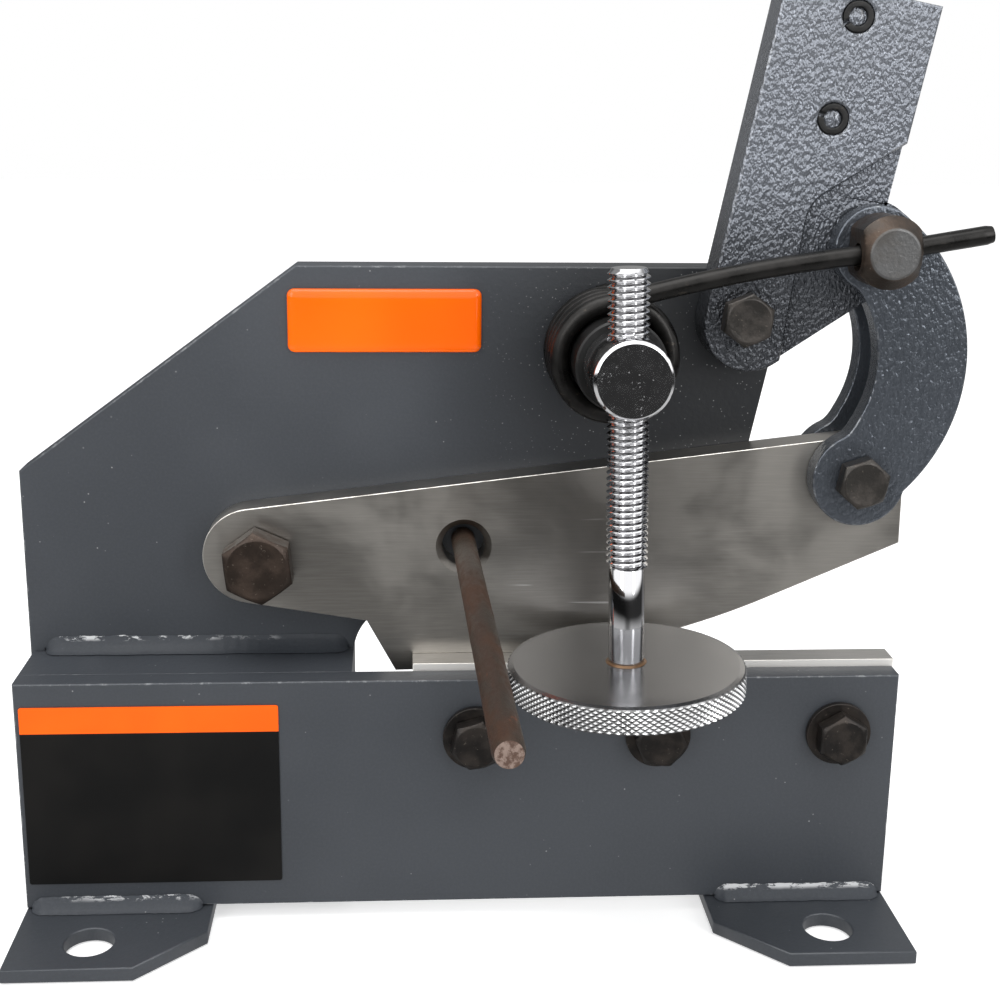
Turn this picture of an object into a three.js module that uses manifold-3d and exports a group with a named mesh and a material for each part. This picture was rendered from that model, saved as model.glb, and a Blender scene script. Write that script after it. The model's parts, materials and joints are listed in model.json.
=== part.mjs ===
// Bench plate shear: a hand lever swings a hinged blade down past a fixed one.
// Millimetres. +X runs along the blades towards the lever, +Y away from the operator, +Z up.
// The origin is on the underside of the left foot, below the front plate's face.
import * as THREE from 'three';
import { mergeVertices } from 'three/addons/utils/BufferGeometryUtils.js';
import Module from 'manifold-3d';

const wasm = await Module();
wasm.setup();

// ---- driving dimensions -------------------------------------------------------------------
const gap = 0.3; // left between pieces that touch
const frameLeft = -38.5;
const frameLength = 364;
const frameRight = frameLeft + frameLength;

const footThickness = 6;
const footWidth = 77.5;
const footReach = 44.3; // how far a foot stands out in front of and behind the frame
const footChamfer = { x: 26, y: 25 };
const footHole = { radius: 10, inset: 31, reach: 25.5 };

const plateTop = 106.5; // top of the front plate
const frontThickness = 11;
const lowerBladeThickness = 11.9;
const movingBladeThickness = 14;
const backThickness = 16;
const frontBack = frontThickness; // y of the front plate's rear face
const lowerFront = frontBack + gap;
const lowerBack = lowerFront + lowerBladeThickness;
const movingFront = lowerBack + gap;
const movingBack = movingFront + movingBladeThickness;
const backFront = movingBack + gap;
const backRear = backFront + backThickness;

const bladeLength = 203.2; // an eight inch cut
const lowerBladeRight = frameRight + 1;
const lowerBladeLeft = lowerBladeRight - bladeLength;
const lowerBladeTop = 109.3;
const lowerBladeDepth = 52;
const bladeBoltX = [149, 224.9, 300.8];
const bladeBoltZ = 81.6;

const bladePivot = new THREE.Vector2(59.8, 150.2);
const leverPivot = new THREE.Vector2(256.9, 253);
const linkTop = new THREE.Vector2(307.2, 281.5);
const linkBottom = new THREE.Vector2(306.9, 186.9);
const springCentre = new THREE.Vector2(203, 238.8);
const barHole = new THREE.Vector2(144.7, 156.4);
const barRadius = 5;

const leverThickness = 19.7;
const leverWidth = 62;
const leverLean = THREE.MathUtils.degToRad(10.8);
const leverBack = movingBack;
const leverFront = leverBack - leverThickness;
const leverTopLength = 132; // from the lever pivot to the lever's top edge, along the lever
const linkThickness = 10;
const linkFrontY = movingFront - gap - linkThickness;
const linkRearY = backFront + gap;

const handleWidth = 43;
const handleThickness = 8;
const socketDepth = 68;
const handleLength = 600;
const gripLength = 130;

const wireRadius = 3.8;
const coilRadius = 22.4; // to the middle of the wire
const armY = 2;
const armSlope = THREE.MathUtils.degToRad(10.8);
const armEnd = 152; // from the coil's tangent point to the arm's free end

const screwY = -28;
const holdDownTilt = THREE.MathUtils.degToRad(1.5);
const discTop = -113.6; // heights along the screw, from the hold-down head's axis
const discThickness = 11;
const discRadius = 46.5;
const screwTop = 39.5;
const screwRadius = 8;
const shankRadius = 6.9;
const headRadius = 15;
const bossRadius = 17.9;

// ---- materials ----------------------------------------------------------------------------
const paint = { color: 0x4f5359, roughness: 0.45, metalness: 0.2 };
const hammertone = { color: 0x6b6f76, roughness: 0.4, metalness: 0.35 };
const bladeSteel = { color: 0x9a9892, roughness: 0.35, metalness: 0.9 };
const oxide = { color: 0x2c2624, roughness: 0.5, metalness: 0.7 };
const blackSteel = { color: 0x191919, roughness: 0.4, metalness: 0.6 };
const chrome = { color: 0xd8d8da, roughness: 0.1, metalness: 1 };
const barSteel = { color: 0x6e5f54, roughness: 0.6, metalness: 0.7 };
const orange = { color: 0xff6a13, roughness: 0.2, metalness: 0 };
const rubber = { color: 0x141414, roughness: 0.8, metalness: 0 };

// ---- shape helpers ------------------------------------------------------------------------
function solid(geometry) {
  const bare = geometry.clone();
  bare.deleteAttribute('normal');
  bare.deleteAttribute('uv');
  const merged = mergeVertices(bare, 1e-4);
  const mesh = new wasm.Mesh({
    numProp: 3,
    vertProperties: new Float32Array(merged.attributes.position.array),
    triVerts: new Uint32Array(merged.index.array),
  });
  return new wasm.Manifold(mesh);
}

function geometryOf(manifold) {
  const mesh = manifold.getMesh();
  const geometry = new THREE.BufferGeometry();
  geometry.setAttribute('position', new THREE.BufferAttribute(new Float32Array(mesh.vertProperties), 3));
  geometry.setIndex(new THREE.BufferAttribute(new Uint32Array(mesh.triVerts), 1));
  geometry.computeVertexNormals();
  return geometry;
}

// an outline drawn in x and z, made into a plate from y0 to y1
function plate(shape, y0, y1, curveSegments = 8) {
  const geometry = new THREE.ExtrudeGeometry(shape, { depth: y1 - y0, bevelEnabled: false, curveSegments });
  geometry.rotateX(Math.PI / 2);
  geometry.translate(0, y1, 0);
  return solid(geometry);
}

// an outline drawn in x and y, made into a plate from z0 to z1
function slab(shape, z0, z1) {
  const geometry = new THREE.ExtrudeGeometry(shape, { depth: z1 - z0, bevelEnabled: false });
  geometry.translate(0, 0, z0);
  return solid(geometry);
}

// a round bar along y
function rod(centre, radius, y0, y1, sides = 24) {
  const geometry = new THREE.CylinderGeometry(radius, radius, y1 - y0, sides);
  geometry.translate(centre.x, (y0 + y1) / 2, centre.y);
  return solid(geometry);
}

// a turned shape about y: pairs of radius and y, closed on the axis
function turned(centre, profile, sides = 24) {
  const points = profile.map(([radius, y]) => new THREE.Vector2(radius, y));
  const geometry = new THREE.LatheGeometry(points, sides);
  geometry.translate(centre.x, 0, centre.y);
  return solid(geometry);
}

function block(x0, x1, y0, y1, z0, z1) {
  const geometry = new THREE.BoxGeometry(x1 - x0, y1 - y0, z1 - z0);
  geometry.translate((x0 + x1) / 2, (y0 + y1) / 2, (z0 + z1) / 2);
  return solid(geometry);
}

function polygon(points) {
  return new THREE.Shape(points.map(([x, y]) => new THREE.Vector2(x, y)));
}

function roundedRectangle(x0, x1, z0, z1, radius) {
  const shape = new THREE.Shape();
  shape.absarc(x1 - radius, z1 - radius, radius, 0, Math.PI / 2);
  shape.absarc(x0 + radius, z1 - radius, radius, Math.PI / 2, Math.PI);
  shape.absarc(x0 + radius, z0 + radius, radius, Math.PI, Math.PI * 1.5);
  shape.absarc(x1 - radius, z0 + radius, radius, Math.PI * 1.5, Math.PI * 2);
  return shape;
}

// a hexagon's prism along y, its corners chamfered at the faces named
function hexagon(centre, acrossFlats, y0, y1, turn, chamferFront, chamferBack) {
  const corner = acrossFlats / Math.sqrt(3);
  const prism = new THREE.CylinderGeometry(corner, corner, y1 - y0, 6);
  prism.rotateY(turn);
  prism.translate(centre.x, (y0 + y1) / 2, centre.y);
  const flat = acrossFlats / 2 - 0.5;
  const drop = (corner - flat) * 0.6;
  const profile = [[0, y0], [chamferFront ? flat : corner, y0], [corner + 0.01, y0 + drop]];
  profile.push([corner + 0.01, y1 - drop], [chamferBack ? flat : corner, y1], [0, y1]);
  return solid(prism).intersect(turned(centre, profile, 24));
}

// a hexagon-headed bolt along y: head in front of headY, shank behind it as far as endY
function bolt(centre, size, headY, endY, turn = 0.3) {
  const { acrossFlats, headHeight, radius } = size;
  const head = hexagon(centre, acrossFlats, headY - headHeight, headY, turn, true, false);
  return head.add(rod(centre, radius, headY - 1, endY));
}

function ring(centre, outer, inner, y0, y1, sides = 24) {
  return rod(centre, outer, y0, y1, sides).subtract(rod(centre, inner, y0 - 1, y1 + 1, sides));
}

function nut(centre, size, y0, turn = 0.2) {
  const body = hexagon(centre, size.acrossFlats, y0, y0 + size.nutHeight, turn, true, true);
  return body.subtract(rod(centre, size.radius + gap, y0 - 1, y0 + size.nutHeight + 1));
}

const m12 = { acrossFlats: 19, headHeight: 8, radius: 6, nutHeight: 10.5, washer: 13.5 };
const m18 = { acrossFlats: 27, headHeight: 11.5, radius: 9, nutHeight: 14, washer: 17 };

// ---- frame --------------------------------------------------------------------------------
function foot(side) {
  const outer = side < 0 ? frameLeft : frameRight;
  const inner = outer - side * footWidth;
  const front = -footReach;
  const rear = backRear + footReach;
  const cut = side * footChamfer.x;
  const outline = polygon([
    [outer, front],
    [inner + cut, front],
    [inner, front + footChamfer.y],
    [inner, rear - footChamfer.y],
    [inner + cut, rear],
    [outer, rear],
  ]);
  let body = slab(outline, 0, footThickness);
  for (const y of [-footHole.reach, backRear + footHole.reach]) {
    const hole = new THREE.CylinderGeometry(footHole.radius, footHole.radius, footThickness + 2, 32);
    hole.rotateX(Math.PI / 2);
    hole.translate(outer - side * footHole.inset, y, footThickness / 2);
    body = body.subtract(solid(hole));
  }
  return body;
}

function frontPlate() {
  let body = block(frameLeft, frameRight, 0, frontBack, footThickness + gap, plateTop);
  for (const x of bladeBoltX) {
    body = body.subtract(rod(new THREE.Vector2(x, bladeBoltZ), m12.radius + gap, -1, frontBack + 1));
  }
  return body;
}

const columnRight = 98;
const throatRadius = 22;

function spacerBlock() {
  return block(frameLeft, columnRight, lowerFront, movingBack, footThickness + gap, plateTop);
}

function backPlate() {
  const left = frameLeft - 1.5;
  const throatZ = plateTop - 2.5;
  const shape = new THREE.Shape();
  shape.moveTo(left, footThickness + gap);
  shape.lineTo(columnRight, footThickness + gap);
  shape.absarc(columnRight + throatRadius, throatZ, throatRadius, Math.PI, Math.PI / 2, true);
  shape.lineTo(256, 146);
  shape.lineTo(273.3, 233);
  shape.absarc(258, 251.5, 20, -0.2, Math.PI / 2);
  shape.lineTo(76, 271.5);
  shape.lineTo(left, 185.8);
  shape.lineTo(left, footThickness + gap);
  let body = plate(shape, backFront, backRear);
  const holes = [
    [bladePivot, m18.radius + gap],
    [leverPivot, m12.radius + gap],
    [springCentre, 10 + gap],
  ];
  for (const [centre, radius] of holes) {
    body = body.subtract(rod(centre, radius, backFront - 1, backRear + 1));
  }
  return body;
}

// a fillet weld along x in the corner above zFloor and in front of yWall
function weldBead(x0, x1, yWall, zFloor, leg) {
  const section = polygon([
    [yWall - leg, zFloor],
    [yWall, zFloor],
    [yWall, zFloor + leg],
    [yWall - leg * 0.62, zFloor + leg * 0.62],
  ]);
  const geometry = new THREE.ExtrudeGeometry(section, { depth: x1 - x0, bevelEnabled: false });
  geometry.applyMatrix4(new THREE.Matrix4().makeBasis(
    new THREE.Vector3(0, 1, 0), new THREE.Vector3(0, 0, 1), new THREE.Vector3(1, 0, 0)));
  geometry.translate(x0, 0, 0);
  return solid(geometry);
}

function badge() {
  const top = roundedRectangle(72.4, 151.9, 236, 262.2, 3);
  return plate(top, backFront - gap - 2.4, backFront - gap, 8);
}

function sticker() {
  return plate(roundedRectangle(-36.4, 68.2, 17.6, 96.6, 1), -gap - 0.5, -gap, 4);
}

// ---- blades -------------------------------------------------------------------------------
function lowerBlade() {
  const bottom = lowerBladeTop - lowerBladeDepth;
  let body = block(lowerBladeLeft, lowerBladeRight, lowerFront, lowerBack, bottom, lowerBladeTop);
  for (const x of bladeBoltX) {
    const centre = new THREE.Vector2(x, bladeBoltZ);
    body = body.subtract(rod(centre, m12.radius + gap, lowerFront - 1, lowerBack + 1));
  }
  return body;
}

function movingBlade() {
  const nose = new THREE.Vector2(56.9, 152.5);
  const noseRadius = 20.5;
  const topSlope = 0.121;
  const heel = { x: 116.1, z: 101.6 };
  const shape = new THREE.Shape();
  shape.absarc(nose.x, nose.y, noseRadius, Math.PI / 2 + topSlope, Math.PI * 1.5 - 0.17);
  shape.lineTo(104.1, 123.9);
  shape.lineTo(heel.x, heel.z);
  shape.quadraticCurveTo(201.7, 103, 268.6, 130.5);
  shape.lineTo(329.2, 156.8);
  shape.lineTo(328.4, 205.5);
  let body = plate(shape, movingFront, movingBack);
  body = body.subtract(rod(bladePivot, m18.radius + gap, movingFront - 1, movingBack + 1));
  // the bolt through the links needs room here, because the blade and the links swing about their own pivots
  body = body.subtract(rod(linkBottom, m12.radius + 3.2, movingFront - 1, movingBack + 1));
  const rim = turned(barHole, [
    [0, movingFront - 1], [12, movingFront - 1], [9, movingFront + 2],
    [9, movingBack + 1], [0, movingBack + 1],
  ]);
  return body.subtract(rim);
}

// ---- lever, handle and links --------------------------------------------------------------
// a point along and across the lever, from its pivot
function onLever(along, across) {
  const x = leverPivot.x + along * Math.sin(leverLean) + across * Math.cos(leverLean);
  const z = leverPivot.y + along * Math.cos(leverLean) - across * Math.sin(leverLean);
  return new THREE.Vector2(x, z);
}

const leverMiddle = 15.8; // the lever's middle line lies this far right of its pivot

function leverOutline() {
  const end = { x: 259.4, z: 250.3, radius: 19 };
  const lobeRadius = 18.5;
  const bottomSlope = 0.56;
  const leftTop = onLever(leverTopLength, leverMiddle - leverWidth / 2);
  const rightTop = onLever(leverTopLength, leverMiddle + leverWidth / 2);
  const rightLow = onLever(leverTopLength - 80, leverMiddle + leverWidth / 2);
  const shape = new THREE.Shape();
  shape.moveTo(leftTop.x, leftTop.y);
  shape.absarc(end.x, end.z, end.radius, Math.PI - leverLean, Math.PI * 1.5 + bottomSlope);
  shape.absarc(linkTop.x, linkTop.y, lobeRadius, -Math.PI / 2 + bottomSlope, Math.PI * 0.42);
  shape.lineTo(rightLow.x, rightLow.y);
  shape.lineTo(rightTop.x, rightTop.y);
  shape.lineTo(leftTop.x, leftTop.y);
  return shape;
}

// the lever's face is milled back where the front link swings across it
function leverPocket() {
  const shape = polygon([
    [345, 333.5],
    [317.4, 321.9],
    [283.7, 300.7],
    [279, 290.9],
    [271.5, 232],
    [330, 225],
    [360, 260],
  ]);
  return plate(shape, leverFront - 1, movingFront);
}

const rollPinAlong = { upper: 121.8, lower: 82.7 };

function pinHoles(y0, y1) {
  return Object.values(rollPinAlong).map((along) => rod(onLever(along, leverMiddle - 0.4), 6 + gap, y0, y1));
}

function handleSpan(from, to, halfWidth, halfThickness) {
  const middle = leverFront + 11.2; // clear of the milled pocket
  const corners = [
    onLever(from, leverMiddle - halfWidth), onLever(from, leverMiddle + halfWidth),
    onLever(to, leverMiddle + halfWidth), onLever(to, leverMiddle - halfWidth),
  ];
  return plate(new THREE.Shape(corners), middle - halfThickness, middle + halfThickness);
}

function lever() {
  const socketBottom = leverTopLength - socketDepth;
  let body = plate(leverOutline(), leverFront, leverBack);
  body = body.subtract(leverPocket());
  const slot = handleSpan(socketBottom, leverTopLength + 5, handleWidth / 2 + gap, handleThickness / 2 + gap);
  body = body.subtract(slot);
  body = body.subtract(rod(leverPivot, m12.radius + gap, leverFront - 1, leverBack + 1));
  body = body.subtract(rod(linkTop, 8 + gap, leverFront - 1, leverBack + 1));
  for (const hole of pinHoles(leverFront - 1, leverBack + 1)) body = body.subtract(hole);
  return body;
}

function handleBar() {
  const bottom = leverTopLength - socketDepth + gap;
  let body = handleSpan(bottom, bottom + handleLength, handleWidth / 2, handleThickness / 2);
  for (const hole of pinHoles(leverFront, leverBack)) body = body.subtract(hole);
  return body;
}

function handleGrip() {
  const end = leverTopLength - socketDepth + gap + handleLength;
  const outer = handleSpan(end - gripLength, end + 6, handleWidth / 2 + 5, handleThickness / 2 + 5);
  const inner = handleSpan(end - gripLength - 5, end + gap, handleWidth / 2 + gap, handleThickness / 2 + gap);
  return outer.subtract(inner);
}

// a spring pin is a split tube; its slot faces up the lever
function rollPin(along) {
  const centre = onLever(along, leverMiddle - 0.4);
  const y0 = leverFront - 0.5;
  const y1 = leverBack - 0.2;
  const tube = rod(centre, 6, y0, y1).subtract(rod(centre, 3.4, y0 - 1, y1 + 1));
  return tube.subtract(block(centre.x - 0.9, centre.x + 0.9, y0 - 1, y1 + 1, centre.y, centre.y + 8));
}

function linkOutline() {
  const outer = { x: 272.7, z: 235, radius: 75 };
  const inner = { x: 260.7, z: 236, radius: 50 };
  const degrees = THREE.MathUtils.degToRad;
  const shape = new THREE.Shape();
  shape.absarc(linkTop.x, linkTop.y, 17, degrees(250), degrees(48), true);
  shape.absarc(outer.x, outer.z, outer.radius, degrees(45), degrees(-45), true);
  shape.absarc(linkBottom.x, linkBottom.y, 19.5, degrees(-18), degrees(-255), true);
  shape.absarc(inner.x, inner.z, inner.radius, degrees(-35), degrees(35));
  return shape;
}

function link(y0) {
  let body = plate(linkOutline(), y0, y0 + linkThickness);
  body = body.subtract(rod(linkTop, 8 + gap, y0 - 1, y0 + linkThickness + 1));
  return body.subtract(rod(linkBottom, m12.radius + gap, y0 - 1, y0 + linkThickness + 1));
}

// the link's upper pin: a big head with two flats and a cross hole for the spring's arm
function springPin() {
  const headBack = linkFrontY - gap;
  const front = -9;
  const profile = [[0, front], [9.8, front], [14.3, front + 6], [14.3, headBack], [0, headBack]];
  const head = turned(linkTop, profile, 40);
  const halfFlats = 11.4;
  const left = linkTop.x - halfFlats;
  const right = linkTop.x + halfFlats;
  const flats = block(left, right, front - 1, headBack + 1, linkTop.y - 20, linkTop.y + 20);
  const shank = rod(linkTop, 8, headBack - 1, linkRearY + linkThickness + 17);
  const cross = new THREE.CylinderGeometry(wireRadius + 0.8, wireRadius + 0.8, 60, 24);
  cross.rotateZ(Math.PI / 2);
  cross.rotateY(-armSlope);
  cross.translate(linkTop.x, armY, linkTop.y);
  return head.intersect(flats).add(shank).subtract(solid(cross));
}

// ---- return spring ------------------------------------------------------------------------
function springCoil() {
  const front = armY + wireRadius + gap;
  return ring(springCentre, coilRadius + wireRadius, coilRadius - wireRadius, front, backFront - gap, 36);
}

function springArm() {
  const front = armY - wireRadius;
  const back = armY + wireRadius;
  const turn = ring(springCentre, coilRadius + wireRadius, coilRadius - wireRadius, front, back, 36);
  const arm = new THREE.CylinderGeometry(wireRadius, wireRadius, armEnd, 16);
  arm.rotateZ(Math.PI / 2);
  arm.translate(armEnd / 2, 0, coilRadius);
  arm.rotateY(-armSlope);
  arm.translate(springCentre.x, armY, springCentre.y);
  return turn.add(solid(arm));
}

function springBoss() {
  const front = linkFrontY - 26;
  const collar = rod(springCentre, bossRadius, front + gap, backFront - gap, 36);
  return collar.add(rod(springCentre, 10, backFront - 1, backRear + 1));
}

// ---- hold-down ----------------------------------------------------------------------------
// the hold-down is drawn upright about its own axis at x = 0, z = 0, then tilted and placed
function placeHoldDown(body) {
  const geometry = geometryOf(body);
  geometry.rotateY(-holdDownTilt);
  geometry.translate(springCentre.x, 0, springCentre.y);
  return solid(geometry);
}

function uprightRod(radius, z0, z1, sides = 24) {
  const geometry = new THREE.CylinderGeometry(radius, radius, z1 - z0, sides);
  geometry.rotateX(Math.PI / 2);
  geometry.translate(0, screwY, (z0 + z1) / 2);
  return solid(geometry);
}

function holdDownHead() {
  const front = screwY - headRadius;
  const back = linkFrontY - 26;
  const axis = new THREE.Vector2(0, 0);
  const profile = [
    [0, front], [headRadius - 1.2, front], [headRadius, front + 1.2],
    [headRadius, back], [0, back],
  ];
  const body = turned(axis, profile, 36);
  return placeHoldDown(body.subtract(uprightRod(screwRadius + gap, -30, 30)));
}

function holdDownScrew() {
  const thread = uprightRod(screwRadius, -74, screwTop);
  const shank = uprightRod(shankRadius, discTop - discThickness + 0.5, -73);
  return placeHoldDown(thread.add(shank));
}

function holdDownDisc() {
  const chamfer = 2;
  const bottom = discTop - discThickness;
  const points = [
    [shankRadius + gap, bottom], [discRadius - chamfer, bottom], [discRadius, bottom + chamfer],
    [discRadius, discTop - chamfer], [discRadius - chamfer, discTop], [shankRadius + gap, discTop],
    [shankRadius + gap, bottom],
  ];
  const geometry = new THREE.LatheGeometry(points.map(([r, z]) => new THREE.Vector2(r, z)), 48);
  geometry.rotateX(Math.PI / 2);
  geometry.translate(0, screwY, 0);
  return placeHoldDown(solid(geometry));
}

// ---- round stock in the bar hole ----------------------------------------------------------
function roundBar() {
  const start = new THREE.Vector3(barHole.x, movingBack - gap, barHole.y);
  const end = new THREE.Vector3(barHole.x + 3.6, -185, barHole.y + 4.6);
  const geometry = new THREE.CylinderGeometry(barRadius, barRadius, start.distanceTo(end), 24);
  const direction = end.clone().sub(start).normalize();
  geometry.applyQuaternion(new THREE.Quaternion().setFromUnitVectors(new THREE.Vector3(0, 1, 0), direction));
  const middle = start.clone().add(end).multiplyScalar(0.5);
  geometry.translate(middle.x, middle.y, middle.z);
  return solid(geometry);
}

// ---- assembly -----------------------------------------------------------------------------
const shear = new THREE.Group();

function add(name, body, look) {
  const mesh = new THREE.Mesh(geometryOf(body), new THREE.MeshStandardMaterial(look));
  mesh.name = name;
  shear.add(mesh);
}

function addRearFastening(name, centre, size, y0) {
  add(`${name}_washer`, ring(centre, size.washer, size.radius + gap, y0 + gap, y0 + 2.5), oxide);
  add(`${name}_nut`, nut(centre, size, y0 + 2.5 + gap), oxide);
}

add('foot_left', foot(-1), paint);
add('foot_right', foot(1), paint);
add('front_plate', frontPlate(), paint);
add('spacer_block', spacerBlock(), paint);
add('back_plate', backPlate(), paint);
const footTop = footThickness + gap;
add('weld_column', weldBead(frameLeft + 5, columnRight - 2, movingBack, plateTop + gap, 7), paint);
add('weld_foot_left', weldBead(frameLeft + 2, frameLeft + footWidth - 4, -gap, footTop, 6), paint);
add('weld_foot_right', weldBead(frameRight - footWidth + 4, frameRight - 2, -gap, footTop, 6), paint);
add('badge', badge(), orange);
add('sticker', sticker(), orange);

add('lower_blade', lowerBlade(), bladeSteel);
bladeBoltX.forEach((x, i) => {
  const centre = new THREE.Vector2(x, bladeBoltZ);
  add(`blade_washer_${i + 1}`, ring(centre, m12.washer, m12.radius + gap, -gap - 2.5, -gap), oxide);
  add(`blade_bolt_${i + 1}`, bolt(centre, m12, -2 * gap - 2.5, lowerBack - 0.6, 0.25 + 0.4 * i), oxide);
});

add('moving_blade', movingBlade(), bladeSteel);
add('blade_pivot_bolt', bolt(bladePivot, m18, movingFront - gap, backRear + 20, -0.1), oxide);
addRearFastening('blade_pivot', bladePivot, m18, backRear);

add('lever', lever(), hammertone);
add('lever_bolt', bolt(leverPivot, m12, leverFront - gap, backRear + 16, 0.12), oxide);
addRearFastening('lever', leverPivot, m12, backRear);
add('roll_pin_upper', rollPin(rollPinAlong.upper), blackSteel);
add('roll_pin_lower', rollPin(rollPinAlong.lower), blackSteel);
add('handle_bar', handleBar(), blackSteel);
add('handle_grip', handleGrip(), rubber);

add('link_front', link(linkFrontY), hammertone);
add('link_rear', link(linkRearY), hammertone);
add('link_bolt', bolt(linkBottom, m12, linkFrontY - gap, linkRearY + linkThickness + 14, 0.2), oxide);
add('link_bolt_nut', nut(linkBottom, m12, linkRearY + linkThickness + gap), oxide);
add('spring_pin', springPin(), oxide);
const m16 = { acrossFlats: 24, radius: 8, nutHeight: 13 };
add('spring_pin_nut', nut(linkTop, m16, linkRearY + linkThickness + gap), oxide);

add('spring_boss', springBoss(), blackSteel);
add('spring_coil', springCoil(), blackSteel);
add('spring_arm', springArm(), blackSteel);

add('hold_down_head', holdDownHead(), chrome);
add('hold_down_screw', holdDownScrew(), chrome);
add('hold_down_disc', holdDownDisc(), chrome);
add('round_bar', roundBar(), barSteel);

export default shear;
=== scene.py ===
import contextlib
import json
import math

import bmesh
import bpy
from mathutils import Matrix, Vector, noise


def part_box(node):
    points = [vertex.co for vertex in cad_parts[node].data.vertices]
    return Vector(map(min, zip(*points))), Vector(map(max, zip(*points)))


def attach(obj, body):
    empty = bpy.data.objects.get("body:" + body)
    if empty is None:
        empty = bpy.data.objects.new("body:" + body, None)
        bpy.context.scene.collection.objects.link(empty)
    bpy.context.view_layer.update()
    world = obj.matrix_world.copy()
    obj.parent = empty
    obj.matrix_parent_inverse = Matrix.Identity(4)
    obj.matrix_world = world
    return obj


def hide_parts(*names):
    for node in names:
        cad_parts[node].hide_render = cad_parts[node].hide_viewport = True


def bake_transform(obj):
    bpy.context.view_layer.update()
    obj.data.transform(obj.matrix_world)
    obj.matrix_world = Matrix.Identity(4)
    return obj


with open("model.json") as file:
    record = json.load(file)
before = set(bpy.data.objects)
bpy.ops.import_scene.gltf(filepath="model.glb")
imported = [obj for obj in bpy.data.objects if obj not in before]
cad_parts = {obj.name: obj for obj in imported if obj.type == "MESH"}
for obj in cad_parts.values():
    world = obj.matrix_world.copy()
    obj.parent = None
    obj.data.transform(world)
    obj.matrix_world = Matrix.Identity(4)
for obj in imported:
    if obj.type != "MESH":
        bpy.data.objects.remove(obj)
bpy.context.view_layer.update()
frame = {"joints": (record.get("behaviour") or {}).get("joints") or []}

MM = 0.001
TAU = 2 * math.pi
SCENE = bpy.context.scene
JOINTS = {joint["name"]: joint for joint in frame["joints"]}


def place(joint):
    """A joint's axis, as x and z in millimetres."""
    x, _, z = JOINTS[joint]["pos_m"]
    return x / MM, z / MM


def cad(node):
    """A CAD node's lowest and highest corners in millimetres."""
    low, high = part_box(node)
    return low / MM, high / MM


def depth(node):
    """A CAD node's front and rear in millimetres."""
    low, high = cad(node)
    return low.y, high.y


def centre_of(node):
    """A CAD node's middle, as x and z in millimetres."""
    low, high = cad(node)
    return (low.x + high.x) / 2, (low.z + high.z) / 2


# ---- dimensions the CAD shares
GAP = 0.3        # between a pin and its hole
FRAME_LOW, FRAME_HIGH = cad("front_plate")
BLADE_PIVOT = place("blade_pivot")
LEVER_PIVOT = place("lever_pivot")
LINK_TOP = place("link_pivot")
SPRING_AXIS = place("spring_swing")
LINK_BOTTOM = centre_of("link_bolt_nut")
BAR_HOLE = (144.7, 156.4)
BAR_SLANT = (3.6, 4.6)    # how far its front end lies along x and z from the hole
BAR_RADIUS = 5.0
FOOT_CHAMFER = (26, 25)
FOOT_HOLE = {"radius": 10, "inset": 31, "reach": 25.5}
COLUMN_RIGHT = 98
THROAT_RADIUS = 22
LEVER_LEAN = math.radians(10.8)
LEVER_MIDDLE = 15.8
LEVER_WIDTH = 62
LEVER_TOP = 132
SOCKET_BOTTOM = 64.3
HANDLE_WIDTH = 43
HANDLE_LENGTH = 600
GRIP_LENGTH = 130
ROLL_PINS = {"roll_pin_upper": 121.8, "roll_pin_lower": 82.7}
ROLL_PIN_OFFSET = LEVER_MIDDLE - 0.4
ROLL_PIN_RADIUS = 6
LINK_PIN_RADIUS = 8
BOSS_SPIGOT = 10
WIRE_RADIUS = 3.8
COIL_RADIUS = 22.4
ARM_Y = 2
ARM_LENGTH = 152
ARM_SLOPE = math.radians(10.8)
ARM_ALONG = Vector((math.cos(ARM_SLOPE), 0, math.sin(ARM_SLOPE)))
ARM_UP = Vector((-math.sin(ARM_SLOPE), 0, math.cos(ARM_SLOPE)))
PIN_MIDDLE = Vector((LINK_TOP[0], ARM_Y, LINK_TOP[1]))
HOLD_DOWN_TILT = math.radians(1.5)
SCREW_Y = -28
DISC_TOP = -113.6    # heights here are from the middle of the hold-down's head
DISC_THICKNESS = 11
DISC_RADIUS = 46.5
SCREW_TOP = 39.5
THREAD_END = -74
SCREW_RADIUS = 8
SHANK_RADIUS = 6.9
HEAD_RADIUS = 15
M12 = {"flats": 19, "head": 8, "radius": 6, "pitch": 1.75}
M16 = {"flats": 24, "radius": LINK_PIN_RADIUS}
M18 = {"flats": 27, "head": 11.5, "radius": 9, "pitch": 2.5}


# ---- mesh helpers
@contextlib.contextmanager
def edited(mesh):
    work = bmesh.new()
    work.from_mesh(mesh)
    yield work
    work.to_mesh(mesh)
    work.free()


def linked(name, data):
    thing = bpy.data.objects.new(name, data)
    SCENE.collection.objects.link(thing)
    return thing


def finish_mesh(name, mesh, sharp=32):
    """Cleans a mesh, shades it smooth with sharp edges by angle, and makes its object."""
    with edited(mesh) as work:
        bmesh.ops.remove_doubles(work, verts=work.verts, dist=1e-6)
        bmesh.ops.dissolve_degenerate(work, edges=work.edges, dist=1e-7)
        bmesh.ops.recalc_face_normals(work, faces=work.faces)
        if work.calc_volume(signed=True) < 0:
            bmesh.ops.reverse_faces(work, faces=work.faces)
    mesh.shade_smooth()
    mesh.set_sharp_from_angle(angle=math.radians(sharp))
    return linked(name, mesh)


def from_points(name, points, faces, sharp=32):
    mesh = bpy.data.meshes.new(name)
    mesh.from_pydata([Vector(p) * MM for p in points], [], faces)
    return finish_mesh(name, mesh, sharp)


def weighted(piece):
    """Keeps wide flat faces flat where they meet a small bevel."""
    modifier = piece.modifiers.new("weighted", "WEIGHTED_NORMAL")
    modifier.weight = 100
    modifier.keep_sharp = True
    return piece


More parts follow.
